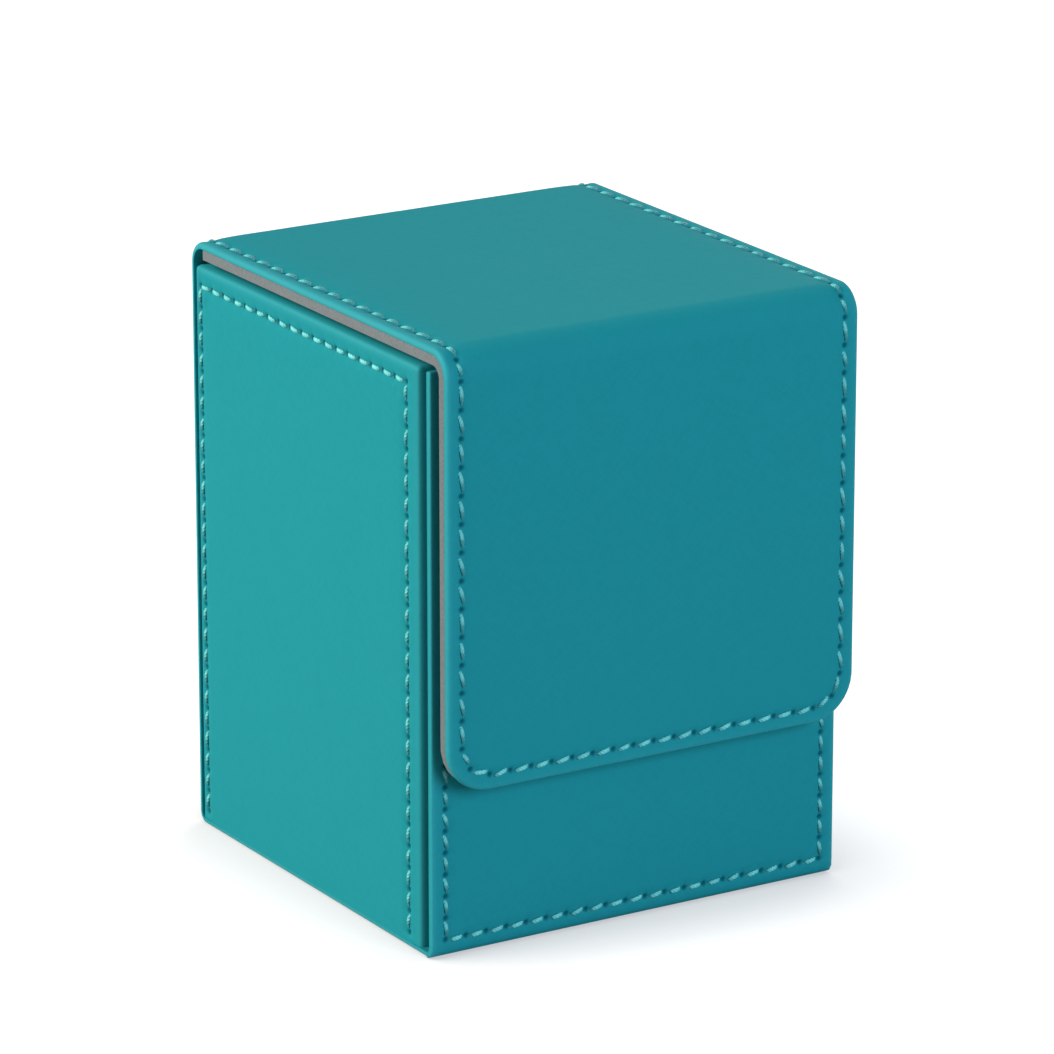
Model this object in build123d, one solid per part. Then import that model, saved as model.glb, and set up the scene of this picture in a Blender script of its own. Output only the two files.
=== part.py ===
from build123d import *
import math
import os

# Flip-lid card box in leatherette. One strip of leatherette runs from the front panel under the
# base, up the back, over the lid and down as a closing flap, round a stitched inner tray.
# Millimetres, +X right, +Y to the back, +Z up. The origin is the middle of the base, on the table.

# Overall sizes
strip_width = 80.0
box_depth = 80.5
box_height = 106.0
flap_drop = 75.6
flap_gap = 2.5
lid_gap = 1.4
side_inset = 0.2

# Sheet thicknesses
leather = 1.1
cover_lining = 1.9
cover_board = 1.2
panel_board = 2.8
wall_board = 2.2
tray_board = 1.8
floor_board = 1.6
base_board = 1.5
lining = 0.8
hinge_lining = 0.6

# Inner radii of the strip's bends, and the board edges that the side leather is wrapped over
hinge_inner_radius = 2.3
fold_inner_radius = 2.0
base_fold_inner_radius = 0.9
wall_front_edge = 0.2
wall_back_edge = 0.5
wall_top_edge = 0.1

# Outer edge of the front panel, and the flap's lower corners
panel_edge_radius = 0.5
flap_corner_radius = 8.0
flap_board_corner = 3.0

# Boards in the lid and flap stay inside the seams, and the tray's lining stops below its rim
board_margin = 5.0
board_end_margin = 2.0
lining_drop = 1.0

# Closing magnets
magnet_diameter = 10.0
magnet_spacing = 44.0
magnet_rise = 14.0

# Seams
stitch_pitch = 3.9
cover_stitch_pitch = 4.7
stitch_length = 2.0
stitch_width = 0.7
stitch_rise = 0.35
stitch_slant = 12.0
stitch_inset = 2.7
side_stitch_top_inset = 3.4
side_stitch_front_inset = 5.0
side_stitch_back_inset = 1.8
side_stitch_foot = 1.5

# Places that follow from those sizes
half_width = strip_width / 2
cover = leather + cover_lining
hinge_radius = hinge_inner_radius + hinge_lining + leather
fold_radius = fold_inner_radius + cover
base_fold_radius = base_fold_inner_radius + leather
front_y = -box_depth / 2
back_y = box_depth / 2
flap_y = front_y - flap_gap - cover
flap_foot_z = box_height - flap_drop
rim_z = box_height - cover - lid_gap
side_x = half_width - side_inset
wall_x = side_x - leather - wall_board
tray_front_y = front_y + leather + panel_board
tray_back_y = back_y - leather
inner_front_y = tray_front_y + tray_board
inner_back_y = tray_back_y - tray_board
base_top_z = leather + base_board
floor_z = base_top_z + floor_board
wall_foot_z = floor_z + lining
hinge_y = back_y - hinge_radius
hinge_z = box_height - hinge_radius
fold_y = flap_y + fold_radius
fold_z = box_height - fold_radius
magnet_z = flap_foot_z + magnet_rise
seam_x = half_width - stitch_inset

# Spans that several pieces share
strip_xs = (-half_width, half_width)
wall_xs = (-wall_x, wall_x)
inner_ys = (inner_front_y, inner_back_y)
lid_ys = (fold_y, hinge_y)
flap_zs = (flap_foot_z, fold_z)

os.makedirs("parts", exist_ok=True)


def slab(xs, ys, zs):
    """A block between two x, two y and two z values."""
    spans = (xs, ys, zs)
    size = [high - low for low, high in spans]
    middle = [(high + low) / 2 for low, high in spans]
    return Pos(*middle) * Box(*size)


def bend(middle, inner, thickness, y_side, z_side):
    """A quarter of a tube across the strip, on one side of its axis in y and in z."""
    outer = inner + thickness
    quarter = Pos(y_side * outer / 2, z_side * outer / 2) * Rectangle(outer, outer)
    ring = (Circle(outer) - Circle(inner)) & quarter
    return extrude(Plane.YZ * Pos(*middle) * ring, amount=half_width, both=True)


def tongue(width, zs, corner, ys):
    """An upright plate whose two lower corners are round."""
    low, high = zs
    near, far = ys
    outline = Pos(0, (low + high) / 2) * Rectangle(width, high - low)
    outline = fillet(outline.vertices().group_by(Axis.Y)[0], corner)
    return Pos(0, far, 0) * Rot(90, 0, 0) * extrude(outline, far - near)


def wall_block(grown):
    """The right wall's board, or with its leather on, round at its outer upright edges and its rim."""
    block = slab(
        (wall_x, wall_x + wall_board + grown),
        (tray_front_y + leather - grown, tray_back_y - leather + grown),
        (leather, rim_z - leather + grown),
    )
    front = block.edges().filter_by(Axis.Z).group_by(Axis.X)[-1].sort_by(Axis.Y)[0]
    block = fillet(front, wall_front_edge + grown)
    back = block.edges().filter_by(Axis.Z).group_by(Axis.X)[-1].sort_by(Axis.Y)[-1]
    block = fillet(back, wall_back_edge + grown)
    top = block.edges().filter_by(Axis.Y).group_by(Axis.Z)[-1].sort_by(Axis.X)[-1]
    return fillet(top, wall_top_edge + grown)


def mirrored(right):
    """The left-hand twin of a right-hand piece."""
    return mirror(right, about=Plane.YZ)


def magnet_pair(ys):
    """Two magnets side by side, lying between two y values."""
    near, far = ys
    disc = Rot(90, 0, 0) * Cylinder(magnet_diameter / 2, far - near)
    return [Pos(side * magnet_spacing / 2, (near + far) / 2, magnet_z) * disc for side in (-1, 1)]


def stitch():
    """One visible stitch: a short flat-backed thread on the leather's face."""
    return extrude(SlotOverall(stitch_length, stitch_width), stitch_rise)


def stitch_line(face, start, end, pitch):
    """Stitches spread evenly from one point of a face to another."""
    run_x = end[0] - start[0]
    run_y = end[1] - start[1]
    count = max(1, round(math.hypot(run_x, run_y) / pitch))
    turn = math.degrees(math.atan2(run_y, run_x)) + stitch_slant
    shares = [(i + 1 / 2) / count for i in range(count)]
    places = [Pos(start[0] + share * run_x, start[1] + share * run_y) for share in shares]
    return [face * place * Rot(0, 0, turn) * stitch() for place in places]


def stitch_path(face, corners, pitch):
    """Stitches along the straight runs from corner to corner of a face."""
    stitches = []
    for start, end in zip(corners, corners[1:]):
        stitches += stitch_line(face, start, end, pitch)
    return stitches


def stitch_corner(face, middle, radius, first, last):
    """Stitches spread evenly round a corner of a face, between two angles."""
    count = max(1, round(math.radians(last - first) * radius / stitch_pitch))
    stitches = []
    for i in range(count):
        angle = first + (last - first) * (i + 1 / 2) / count
        place = Pos(*middle) * Rot(0, 0, angle) * Pos(radius, 0)
        stitches.append(face * place * Rot(0, 0, 90 + stitch_slant) * stitch())
    return stitches


def stitch_bend(x):
    """Stitches that follow the lid's bend into the flap."""
    count = max(1, round(math.pi / 2 * fold_radius / stitch_pitch))
    stitches = []
    for i in range(count):
        angle = math.pi / 2 * (i + 1 / 2) / count
        out = (0, -math.sin(angle), math.cos(angle))
        along = (0, -math.cos(angle), -math.sin(angle))
        spot = (x, fold_y + fold_radius * out[1], fold_z + fold_radius * out[2])
        face = Plane(origin=spot, x_dir=along, z_dir=out)
        stitches.append(face * Rot(0, 0, stitch_slant) * stitch())
    return stitches


# Front panel: leather that reaches past its board at both sides and turns over the tray's rim
front_board_ys = (front_y + leather, tray_front_y)
front_insert = slab(wall_xs, front_board_ys, (base_fold_radius, rim_z - leather))
front_magnets = magnet_pair(front_board_ys)
front_panel = slab(strip_xs, (front_y, front_y + leather), (base_fold_radius, rim_z))
front_edges = front_panel.edges().filter_by(Axis.Z).group_by(Axis.Y)[0]
front_panel = fillet(front_edges, panel_edge_radius)
front_fold_middle = (front_y + base_fold_radius, base_fold_radius)
front_fold = bend(front_fold_middle, base_fold_inner_radius, leather, -1, -1)
front_rim = slab(wall_xs, (front_y + leather, inner_front_y), (rim_z - leather, rim_z))
front_leather = front_panel + front_fold + front_rim

# Base and back of the strip
base_leather = slab(
    strip_xs,
    (front_y + base_fold_radius, back_y - base_fold_radius),
    (0, leather),
)
back_panel = slab(strip_xs, (tray_back_y, back_y), (base_fold_radius, hinge_z))
back_fold_middle = (back_y - base_fold_radius, base_fold_radius)
back_fold = bend(back_fold_middle, base_fold_inner_radius, leather, 1, -1)
back_rim = slab(wall_xs, (inner_back_y, tray_back_y), (rim_z - leather, rim_z))
back_leather = back_panel + back_fold + back_rim

# Side panels: leather wrapped over a board at the front, the back and the rim
right_side_board = wall_block(0)
right_side_leather = wall_block(leather) - right_side_board - back_leather

# Tray between the side panels
base_insert = slab(wall_xs, (tray_front_y, back_y - base_fold_radius), (leather, base_top_z))
tray_front_board = slab(wall_xs, (tray_front_y, inner_front_y), (base_top_z, rim_z - leather))
tray_back_board = slab(wall_xs, (inner_back_y, tray_back_y), (base_top_z, rim_z - leather))
tray_floor_board = slab(wall_xs, inner_ys, (base_top_z, floor_z))

# Lining of the card compartment
lining_zs = (wall_foot_z, rim_z - lining_drop)
floor_lining = slab(wall_xs, inner_ys, (floor_z, wall_foot_z))
front_lining = slab(wall_xs, (inner_front_y, inner_front_y + lining), lining_zs)
back_lining = slab(wall_xs, (inner_back_y - lining, inner_back_y), lining_zs)
right_lining = slab(
    (wall_x - lining, wall_x),
    (inner_front_y + lining, inner_back_y - lining),
    lining_zs,
)

# Leather hinge at the back of the lid, lined on its inside
hinge_middle = (hinge_y, hinge_z)
hinge_leather = bend(hinge_middle, hinge_inner_radius + hinge_lining, leather, 1, 1)
hinge_felt = bend(hinge_middle, hinge_inner_radius, hinge_lining, 1, 1)

# Lid: leather over thick felt, with a board let into the felt
lid_leather = slab(strip_xs, lid_ys, (box_height - leather, box_height))
lid_board = slab(
    (-half_width + board_margin, half_width - board_margin),
    (fold_y + board_end_margin, hinge_y - board_end_margin),
    (box_height - leather - cover_board, box_height - leather),
)
lid_lining = slab(strip_xs, lid_ys, (box_height - cover, box_height - leather)) - lid_board

# Bend from the lid into the flap
fold_middle = (fold_y, fold_z)
fold_leather = bend(fold_middle, fold_inner_radius + cover_lining, leather, -1, 1)
fold_lining = bend(fold_middle, fold_inner_radius, cover_lining, -1, 1)

# Flap: the same layers upright, with round lower corners and magnets in its board
flap_felt_y = flap_y + leather
flap_leather = tongue(strip_width, flap_zs, flap_corner_radius, (flap_y, flap_felt_y))
flap_board_ys = (flap_felt_y, flap_felt_y + cover_board)
flap_insert = tongue(
    strip_width - 2 * board_margin,
    (flap_foot_z + board_margin, fold_z - board_end_margin),
    flap_board_corner,
    flap_board_ys,
)
flap_felt_ys = (flap_felt_y, flap_felt_y + cover_lining)
flap_lining = tongue(strip_width, flap_zs, flap_corner_radius, flap_felt_ys) - flap_insert
flap_magnets = magnet_pair(flap_board_ys)

# Seams of the front and back panels
front_face = Plane(origin=(0, front_y, 0), x_dir=(1, 0, 0), z_dir=(0, -1, 0))
back_face = Plane(origin=(0, back_y, 0), x_dir=(-1, 0, 0), z_dir=(0, 1, 0))
seam_foot_z = base_fold_radius + stitch_width
seam_foot = [(-seam_x, seam_foot_z), (seam_x, seam_foot_z)]
seam_top_z = rim_z - stitch_inset
front_seam = [(-seam_x, seam_top_z), *seam_foot, (seam_x, seam_top_z), (-seam_x, seam_top_z)]
back_seam = [(-seam_x, hinge_z), *seam_foot, (seam_x, hinge_z)]

# Seams of the side panels, open along the base
right_face = Plane(origin=(side_x, 0, 0), x_dir=(0, 1, 0), z_dir=(1, 0, 0))
side_front_y = tray_front_y + side_stitch_front_inset
side_back_y = tray_back_y - side_stitch_back_inset
side_top_z = rim_z - side_stitch_top_inset
side_foot_z = leather + side_stitch_foot
side_seam = [
    (side_front_y, side_foot_z),
    (side_front_y, side_top_z),
    (side_back_y, side_top_z),
    (side_back_y, side_foot_z),
]
right_side_stitching = stitch_path(right_face, side_seam, stitch_pitch)

# Seam of the lid and flap: down both edges, over the bend and round the flap's foot
lid_face = Plane(origin=(0, 0, box_height), x_dir=(1, 0, 0), z_dir=(0, 0, 1))
flap_face = Plane(origin=(0, flap_y, 0), x_dir=(1, 0, 0), z_dir=(0, -1, 0))
corner_x = half_width - flap_corner_radius
corner_z = flap_foot_z + flap_corner_radius
corner_seam = flap_corner_radius - stitch_inset
foot_seam_z = flap_foot_z + stitch_inset
foot_seam = [(-corner_x, foot_seam_z), (corner_x, foot_seam_z)]
lid_stitching = []
fold_stitching = []
flap_stitching = stitch_path(flap_face, foot_seam, stitch_pitch)
flap_stitching += stitch_corner(flap_face, (-corner_x, corner_z), corner_seam, 180, 270)
flap_stitching += stitch_corner(flap_face, (corner_x, corner_z), corner_seam, 270, 360)
for x in (-seam_x, seam_x):
    lid_stitching += stitch_line(lid_face, (x, hinge_y), (x, fold_y), cover_stitch_pitch)
    fold_stitching += stitch_bend(x)
    flap_stitching += stitch_line(flap_face, (x, fold_z), (x, corner_z), cover_stitch_pitch)

nodes = {
    "front_leather": front_leather,
    "front_board": front_insert - front_magnets,
    "front_magnets": front_magnets,
    "front_stitching": stitch_path(front_face, front_seam, stitch_pitch),
    "base_leather": base_leather,
    "base_board": base_insert,
    "back_leather": back_leather,
    "back_stitching": stitch_path(back_face, back_seam, stitch_pitch),
    "right_side_leather": right_side_leather,
    "right_side_board": right_side_board,
    "right_side_stitching": right_side_stitching,
    "left_side_leather": mirrored(right_side_leather),
    "left_side_board": mirrored(right_side_board),
    "left_side_stitching": [mirrored(piece) for piece in right_side_stitching],
    "tray_front_board": tray_front_board,
    "tray_back_board": tray_back_board,
    "tray_floor_board": tray_floor_board,
    "floor_lining": floor_lining,
    "front_lining": front_lining,
    "back_lining": back_lining,
    "right_lining": right_lining,
    "left_lining": mirrored(right_lining),
    "hinge_leather": hinge_leather,
    "hinge_lining": hinge_felt,
    "lid_leather": lid_leather,
    "lid_board": lid_board,
    "lid_lining": lid_lining,
    "lid_stitching": lid_stitching,
    "fold_leather": fold_leather,
    "fold_lining": fold_lining,
    "fold_stitching": fold_stitching,
    "flap_leather": flap_leather,
    "flap_board": flap_insert - flap_magnets,
    "flap_lining": flap_lining,
    "flap_magnets": flap_magnets,
    "flap_stitching": flap_stitching,
}

for name, shape in nodes.items():
    group = Compound(children=shape) if isinstance(shape, list) else shape
    export_step(group, f"parts/{name}.step")
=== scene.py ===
"""Looks of a flip-lid card box: stitched leatherette over board, felt linings and hidden magnets."""

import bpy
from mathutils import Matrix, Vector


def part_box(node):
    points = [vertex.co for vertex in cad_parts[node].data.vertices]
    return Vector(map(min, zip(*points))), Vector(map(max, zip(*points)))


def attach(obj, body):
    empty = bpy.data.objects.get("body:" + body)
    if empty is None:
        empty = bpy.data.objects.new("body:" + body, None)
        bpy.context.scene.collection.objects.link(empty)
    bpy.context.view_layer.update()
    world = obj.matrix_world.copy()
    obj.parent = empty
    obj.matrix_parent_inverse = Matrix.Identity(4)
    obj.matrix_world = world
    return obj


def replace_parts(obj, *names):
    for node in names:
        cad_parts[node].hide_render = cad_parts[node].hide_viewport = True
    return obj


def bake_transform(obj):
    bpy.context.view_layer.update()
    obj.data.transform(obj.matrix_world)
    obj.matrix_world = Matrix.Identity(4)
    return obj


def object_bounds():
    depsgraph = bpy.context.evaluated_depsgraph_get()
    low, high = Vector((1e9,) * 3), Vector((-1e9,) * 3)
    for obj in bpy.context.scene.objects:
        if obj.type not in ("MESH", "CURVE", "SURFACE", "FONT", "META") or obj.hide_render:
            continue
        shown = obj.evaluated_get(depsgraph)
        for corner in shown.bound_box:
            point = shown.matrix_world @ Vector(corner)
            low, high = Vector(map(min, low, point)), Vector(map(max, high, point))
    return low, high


bl_info = {
    "name": "Flip-lid card box",
    "version": (1, 0, 0),
    "blender": (4, 5, 0),
    "location": "View3D > Sidebar > Card Box",
    "description": "Dresses a flip-lid card box in stitched leatherette and felt",
    "category": "Object",
}

import math
import random

import bmesh
import bpy
from bpy.props import FloatProperty, FloatVectorProperty, PointerProperty
from mathutils import Matrix, Vector, kdtree, noise

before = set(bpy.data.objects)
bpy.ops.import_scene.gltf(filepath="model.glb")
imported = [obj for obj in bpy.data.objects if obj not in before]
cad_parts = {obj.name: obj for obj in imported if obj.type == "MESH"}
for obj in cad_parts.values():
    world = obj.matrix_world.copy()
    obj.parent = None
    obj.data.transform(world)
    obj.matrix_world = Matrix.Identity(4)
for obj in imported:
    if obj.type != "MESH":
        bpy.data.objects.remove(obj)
cad_box = [list(corner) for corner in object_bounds()]

MM = 0.001
QUARTER = math.pi / 2

# Widest and narrowest gaps between the lines of a sheet's grid
GRID_STEP = 2.2 * MM
FINEST_GAP = 0.12 * MM


def linear(code):
    """Linear red, green and blue of an sRGB hex colour."""
    shares = [int(code[i:i + 2], 16) / 255 for i in (1, 3, 5)]
    return [c / 12.92 if c <= 0.04045 else ((c + 0.055) / 1.055) ** 2.4 for c in shares]


def length(name, description, millimetres):
    """A size that a user can change."""
    return FloatProperty(
        name=name,
        description=description,
        default=millimetres * MM,
        min=0,
        precision=5,
        unit="LENGTH",
        subtype="DISTANCE",
    )


def colour(name, description, code):
    """A colour that a user can change."""
    return FloatVectorProperty(
        name=name,
        description=description,
        default=linear(code),
        min=0,
        max=1,
        size=3,
        subtype="COLOR",
    )


class CardBoxSizes(bpy.types.PropertyGroup):
    """Sizes of the box's skin and seams."""

    cut_edge: length("Cut edge", "Rounding of the leatherette's cut edges", 0.75)
    panel_edge: length("Panel edge", "Rounding of the front panel's cut edges", 0.3)
    turned_edge: length("Turned edge", "Rounding where leatherette is turned over a board", 0.9)
    flap_corner: length("Flap corner", "Radius of the flap's two lower corners", 8)
    padding: length("Padding", "How far a panel's middle stands above its border", 0.22)
    padding_width: length("Padding width", "Width of the border over which a panel rises", 9)
    unevenness: length("Unevenness", "How far the skin wanders from flat", 0.05)
    felt_setback: length("Felt set-back", "How far the felt stops inside the leatherette's edge", 0.25)
    felt_edge: length("Felt edge", "Rounding of the felt's cut edges", 0.4)
    seam_inset: length("Seam inset", "From the strip's edge to its seam", 2.7)
    side_front: length("Side seam, front", "From a side panel's front edge to its seam", 4.2)
    side_back: length("Side seam, back", "From a side panel's back edge to its seam", 1.8)
    side_head: length("Side seam, top", "From a side panel's rim to its seam", 3.4)
    side_foot: length("Side seam, foot", "From a side panel's foot to the ends of its seam", 1.5)
    panel_pitch: length("Panel pitch", "From needle hole to needle hole on the panels", 3.9)
    cover_pitch: length("Cover pitch", "From needle hole to needle hole on the lid and flap", 4.7)
    thread: length("Thread", "Thickness of the sewing thread", 0.8)
    needle: length("Needle hole", "Width of a needle hole", 1.2)
    needle_depth: length("Needle depth", "Depth of the dimple round a needle hole", 0.3)
    seam_depth: length("Seam depth", "How far the thread draws the skin down", 0.2)
    seam_width: length("Seam width", "Half the width of the valley along a seam", 0.85)
    hatch: length("Hatch", "Spacing of the pressed hatching on the leatherette", 0.45)
    twist: length("Twist", "Length of thread in which a ply goes half round", 1.3)
    fibre: length("Fibre", "Size of the tufts in the felt", 0.5)
    # The band along an edge gets a real gloss and a painted highlight.
    edge_wear_and_highlight: length("Edge wear and painted highlight", "Width over which the skin pales and shines towards an edge", 0.8)


class CardBoxColours(bpy.types.PropertyGroup):
    """Colours of the box's materials and stage."""

    leatherette: colour("Leatherette", "Colour of the embossed skin", "#229CA6")
    # Painted shade: the dark colour laid into the needle holes.
    needle: colour("Needle holes", "Colour inside the needle holes", "#0A6270")
    # The thread's colour on top carries its painted highlight, and the colour at its ends is painted shade.
    thread: colour("Thread", "Colour of the sewing thread on top of a stitch", "#7FF4F0")
    thread_painted_shade: colour("Thread ends", "Colour of the thread where it goes into a hole", "#23949C")
    felt: colour("Felt", "Colour of the felt", "#7E898D")
    board: colour("Greyboard", "Colour of the stiffening boards", "#5C5E5E")
    plating: colour("Plating", "Colour of the magnets' nickel plating", "#C9C7C2")
    floor: colour("Floor", "Colour of the floor", "#BDBDBD")
    bounce: colour("Bounce", "Colour of the light that the floor throws back", "#A6A6A6")


# The strip of leatherette, and the planes of the other sheets


def direction(angle):
    """A unit step in the plane of y and z."""
    return Vector((math.cos(angle), math.sin(angle)))


def follow(leg, distance):
    """The point a distance along a leg of the strip, and the angle of its outer side."""
    size, turn, spot, side = leg
    if not turn:
        return spot + distance * direction(side - QUARTER), side
    radius = size / turn
    middle = spot - radius * direction(side)
    side -= distance / radius
    return middle + radius * direction(side), side


def strip_legs():
    """The strip's legs from the flap's foot over the lid, back and base to the front panel's rim.

    Each one has its start and end along the strip, and what follow needs."""
    names = ("flap", "fold", "lid", "hinge", "back", "base", "front")
    flap, fold, lid, hinge, back, base, front = (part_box(name + "_leather") for name in names)
    foot = back[1].y - base[1].y
    sizes = {
        "flap": (fold[0].z - flap[0].z, 0),
        "fold": (QUARTER * (fold[1].z - fold[0].z), QUARTER),
        "lid": (lid[1].y - lid[0].y, 0),
        "hinge": (QUARTER * (hinge[1].z - hinge[0].z), QUARTER),
        "back": (hinge[0].z - foot, 0),
        "back_foot": (QUARTER * foot, QUARTER),
        "base": (base[1].y - base[0].y, 0),
        "front_foot": (QUARTER * foot, QUARTER),
        "front": (front[1].z - foot, 0),
    }
    spot, side, reach = Vector((flap[0].y, flap[0].z)), math.pi, 0
    legs = {}
    for name, (size, turn) in sizes.items():
        leg = (size, turn, spot, side)
        legs[name] = (reach, reach + size, leg)
        spot, side = follow(leg, size)
        reach += size
    return legs


LEGS = strip_legs()
HALF_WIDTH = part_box("lid_leather")[1].x
STRIP_WIDTH = (-HALF_WIDTH, HALF_WIDTH)
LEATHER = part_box("lid_leather")[1].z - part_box("lid_leather")[0].z


def span(first, last):
    """Where a stretch of the strip starts and ends, from the start of one leg to the end of another."""
    return LEGS[first][0], LEGS[last][1]


def bend_marks(leg, step, count):
    """Closely set grid lines along a bend of the strip."""
    return [LEGS[leg][0] + step * i for i in range(count)]


def on_strip(x, s, height):
    """The place of a point that lies s along the strip and a height above its outer face."""
    start, _, leg = [found for found in LEGS.values() if found[0] <= max(0, s)][-1]
    spot, side = follow(leg, s - start)
    spot = spot + height * direction(side)
    return Vector((x, spot.x, spot.y))


def under_strip(x, s, height):
    """The same for the felt that is glued under the strip's leatherette."""
    return on_strip(x, s, height - LEATHER)


def on_plane(origin, across, along):
    """The same for a flat sheet: points go by two directions from an origin and a height above both."""
    origin, across, along = Vector(origin), Vector(across), Vector(along)
    above = across.cross(along)
    return lambda u, s, height: origin + u * across + s * along + height * above


# Sheets: cut flat, thickened, given their relief and then laid in place


ALL_SIDES = ("left", "right", "foot", "head")


class Outline:
    """A sheet's cut shape, with its round corners and eased edges.

    Sides that aren't cut run on into a neighbour."""

    RUN_ON = 50 * MM

    def __init__(self, across, along, cut, edge, corner=0):
        self.across, self.along, self.edge, self.corner = across, along, edge, corner
        beyond = [0 if side in cut else self.RUN_ON for side in ALL_SIDES]
        low = Vector((across[0] - beyond[0], along[0] - beyond[2]))
        high = Vector((across[1] + beyond[1], along[1] + beyond[3]))
        self.middle, self.half = (low + high) / 2, (high - low) / 2

    def past_corner(self, u, s):
        """How far a point lies past the middles of the round corners, in each direction."""
        return (
            abs(u - self.middle.x) - self.half.x + self.corner,
            abs(s - self.middle.y) - self.half.y + self.corner,
        )

    def rounded(self, u, s):
        """Moves a point of a square corner onto the round one."""
        past = self.past_corner(u, s)
        if min(past) <= 0:
            return u, s
        shrink = 1 - max(past) / math.hypot(*past)
        u -= math.copysign(past[0] * shrink, u - self.middle.x)
        s -= math.copysign(past[1] * shrink, s - self.middle.y)
        return u, s

    def inset(self, u, s):
        """How far a point lies inside the outline."""
        past = self.past_corner(u, s)
        outside = math.hypot(*(max(0, distance) for distance in past))
        return self.corner - outside - min(0, max(past))

    def drop(self, u, s):
        """How far the eased edge has dropped at a point."""
        short = max(0, self.edge - self.inset(u, s))
        return self.edge - math.sqrt(max(0, self.edge ** 2 - short ** 2))

    def unrolled(self, u, s, height):
        """Where a point of an edge that has dropped to a height lay before that edge was turned."""
        past = self.past_corner(u, s)
        if past[0] > past[1]:
            return u - math.copysign(height, u - self.middle.x), s
        return u, s - math.copysign(height, s - self.middle.y)

    def edge_marks(self):
        """Grid lines close to the edges, across and along, for their rounding."""
        shares = (0.06, 0.2, 0.42, 0.7, 1)
        return [
            [end + inward * share * self.edge for end, inward in zip(ends, (1, -1)) for share in shares]
            for ends in (self.across, self.along)
        ]


def grid_lines(ends, marks):
    """Grid lines from end to end: the marks between them, with wider gaps filled evenly."""
    low, high = ends
    lines = [low]
    for mark in sorted(m for m in marks if low + FINEST_GAP < m < high - FINEST_GAP) + [high]:
        start, gap = lines[-1], mark - lines[-1]
        if gap < FINEST_GAP:
            continue
        parts = math.ceil(gap / GRID_STEP)
        lines += [start + gap * (i + 1) / parts for i in range(parts)]
    return lines


def flat_grid(outline, marks):
    """A flat grid cut to an outline, with lines at the marks."""
    edges = outline.edge_marks()
    us = grid_lines(outline.across, edges[0] + marks[0])
    ss = grid_lines(outline.along, edges[1] + marks[1])
    columns, rows = len(us) - 1, len(ss) - 1
    bm = bmesh.new()
    bmesh.ops.create_grid(bm, x_segments=columns, y_segments=rows, size=1)
    for vert in bm.verts:
        column = round((vert.co.x + 1) / 2 * columns)
        row = round((vert.co.y + 1) / 2 * rows)
        vert.co.xy = outline.rounded(us[column], ss[row])
    return bm


def turn_down(bm, depth, test):
    """Turns the borders whose ends pass a test of their place down to a depth under the sheet's face."""
    edges = [e for e in bm.edges if e.is_boundary and all(test(v.co) for v in e.verts)]
    made = bmesh.ops.extrude_edge_only(bm, edges=edges)["geom"]
    for vert in (g for g in made if isinstance(g, bmesh.types.BMVert)):
        vert.co.z = -depth


class Skin:
    """A sheet's relief over its flat cut: the padding of the panel that it covers, valleys along its seams
    and pricked needle holes."""

    def __init__(self, outline, sizes, seams=(), panel=None, seed=0):
        self.sizes, self.seed = sizes, seed
        self.panel = panel or outline
        self.padding = sizes.padding if panel else 0
        low, high = outline.along
        beyond = 5 * MM
        nearby = [p for seam in seams for p in seam if low - beyond < p.y < high + beyond]
        self.holes = [Vector(hole) for hole in dict.fromkeys(tuple(p) for p in nearby)]
        self.tree = kdtree.KDTree(len(self.holes))
        for number, hole in enumerate(self.holes):
            self.tree.insert(hole.to_3d(), number)
        self.tree.balance()

    def marks(self):
        """Grid lines across and along that the needle holes need."""
        spread = [share * self.sizes.needle for share in (-1.5, -0.5, -0.25, 0, 0.25, 0.5, 1.5)]
        return [[hole[axis] + step for hole in self.holes for step in spread] for axis in (0, 1)]

    def relief(self, u, s):
        """The skin's height at a point, and how far it is pricked, from 0 to 1."""
        sizes = self.sizes
        spot = Vector((u, s, 0))
        rise = min(1, max(0, self.panel.inset(u, s) / sizes.padding_width))
        height = self.padding * rise * rise * (3 - 2 * rise)
        wave = 14 * MM
        wander = noise.noise(spot / wave + Vector((0, 0, self.seed)))
        height += sizes.unevenness * wander * rise
        nearest = self.tree.find_n(spot, 2)
        if not nearest or nearest[0][2] > sizes.cover_pitch:
            return height, 0
        (near, _, gap), (far, _, _) = nearest
        thread = far - near
        share = min(1, max(0, (spot - near).dot(thread) / thread.length_squared))
        away = (near + share * thread - spot).length
        pricked = math.exp(-((gap / (sizes.needle / 2)) ** 2))
        height -= sizes.seam_depth * math.exp(-((away / sizes.seam_width) ** 2))
        return height - sizes.needle_depth * pricked, pricked


def sheet(outline, skin, place, thickness, marks=((), ()), turned=None, recess=None):
    """A closed sheet laid in place, with its flat cut kept as a UV map in metres.

    Turned turns the borders down before the sheet gets its thickness, and recess gives the depth
    of what is let into its face at a point."""
    bm = flat_grid(outline, [mine + list(more) for mine, more in zip(skin.marks(), marks)])
    pricked = bm.verts.layers.float.new("pricked")
    wear_and_painted_highlight = bm.verts.layers.float.new("wear_and_painted_highlight")
    flat = bm.loops.layers.uv.new("flat")
    top = bm.verts[:]
    if turned:
        for vert in top:
            vert.co.z = -outline.drop(*vert.co.xy)
        turned(bm)
    bmesh.ops.solidify(bm, geom=bm.faces[:], thickness=thickness)
    for vert in top:
        vert.co.z = -outline.drop(*vert.co.xy)
    for loop in (loop for face in bm.faces for loop in face.loops):
        loop[flat].uv = outline.unrolled(*loop.vert.co)
    for vert in top:
        # The edge attribute gives the leatherette a real gloss and a painted highlight.
        vert[wear_and_painted_highlight] = math.exp(-((outline.inset(*vert.co.xy) / skin.sizes.edge_wear_and_highlight) ** 2))
        height, vert[pricked] = skin.relief(*vert.co.xy)
        vert.co.z += height
        if recess:
            vert.co.z -= recess(*vert.co.xy)
    for vert in bm.verts:
        vert.co = place(*vert.co)
    return bm


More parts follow.
